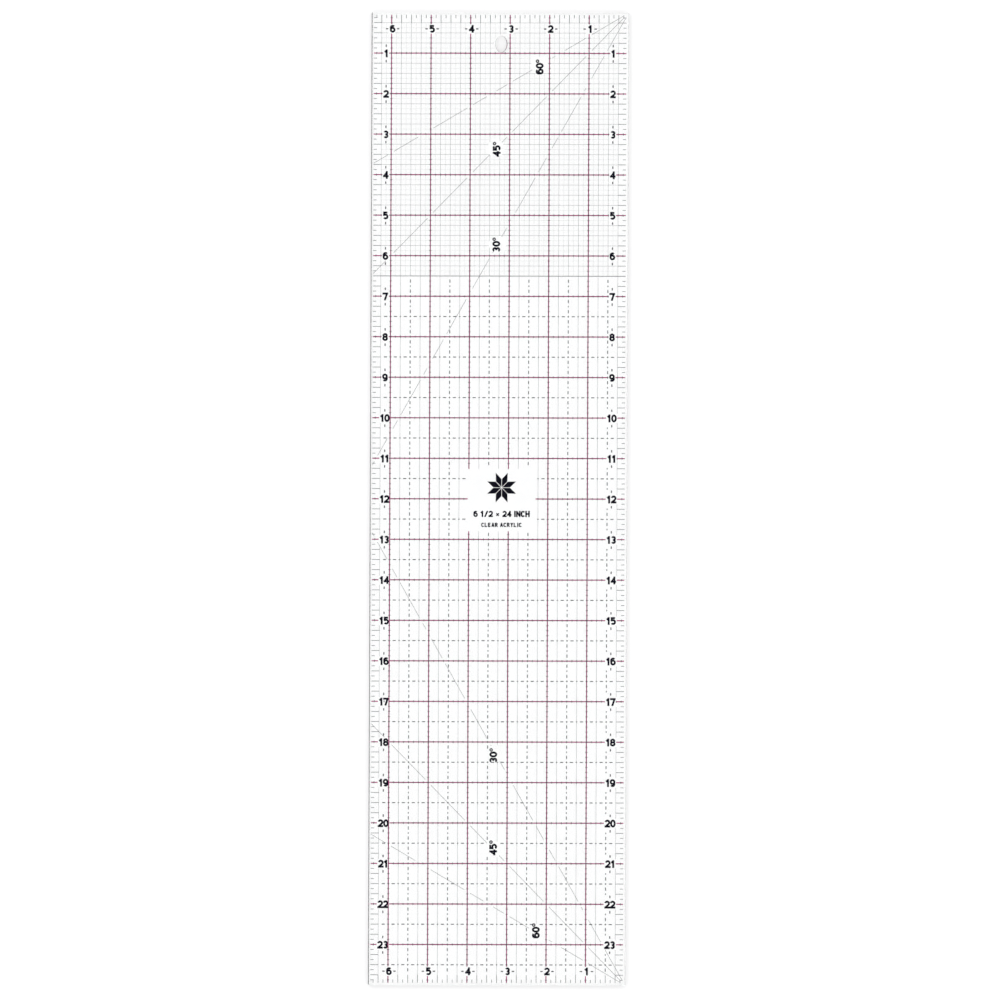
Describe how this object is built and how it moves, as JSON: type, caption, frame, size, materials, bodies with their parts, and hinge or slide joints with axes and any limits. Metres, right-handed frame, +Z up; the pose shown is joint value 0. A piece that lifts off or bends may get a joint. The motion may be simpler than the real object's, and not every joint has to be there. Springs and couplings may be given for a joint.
{
  "type": "quilting ruler",
  "caption": "Clear acrylic quilting ruler with inch, half-inch and quarter-inch grid lines, edge ticks, figures, slanted cutting lines and a hanging hole.",
  "frame": {"origin": "middle of the underside, the printed side that rests on the cloth", "axes": "+X towards the zero edge (the right-hand long edge seen from above), +Y along the ruler towards the end with the hanging hole, +Z up"},
  "size_m": [0.165, 0.6096, 0.003],
  "materials": {
    "acrylic": "clear polished cast acrylic with laser-cut edges",
    "crimson_ink": "crimson screen-printing ink",
    "grey_ink": "dark grey screen-printing ink in fine lines",
    "black_ink": "blue-black screen-printing ink"
  },
  "bodies": {
    "root": {"acrylic_sheet": "acrylic", "inch_lines_lengthwise": "crimson_ink", "inch_lines_crosswise": "crimson_ink", "block_end_line": "grey_ink", "fine_block_lines_lengthwise": "grey_ink", "fine_block_lines_crosswise": "grey_ink", "long_block_lines_lengthwise": "grey_ink", "half_inch_dashes_lengthwise": "grey_ink", "half_inch_dashes_crosswise": "grey_ink", "edge_ticks_left": "grey_ink", "edge_ticks_right": "grey_ink", "edge_ticks_top": "grey_ink", "edge_ticks_bottom": "grey_ink", "figures_left": "black_ink", "figures_right": "black_ink", "figures_top": "black_ink", "figures_bottom": "black_ink", "figure_dashes": "grey_ink", "angle_lines_30": "grey_ink", "angle_lines_45": "grey_ink", "angle_lines_60": "grey_ink", "angle_labels": "black_ink", "star_emblem": "black_ink", "size_lettering": "black_ink"}
  },
  "joints": []
}
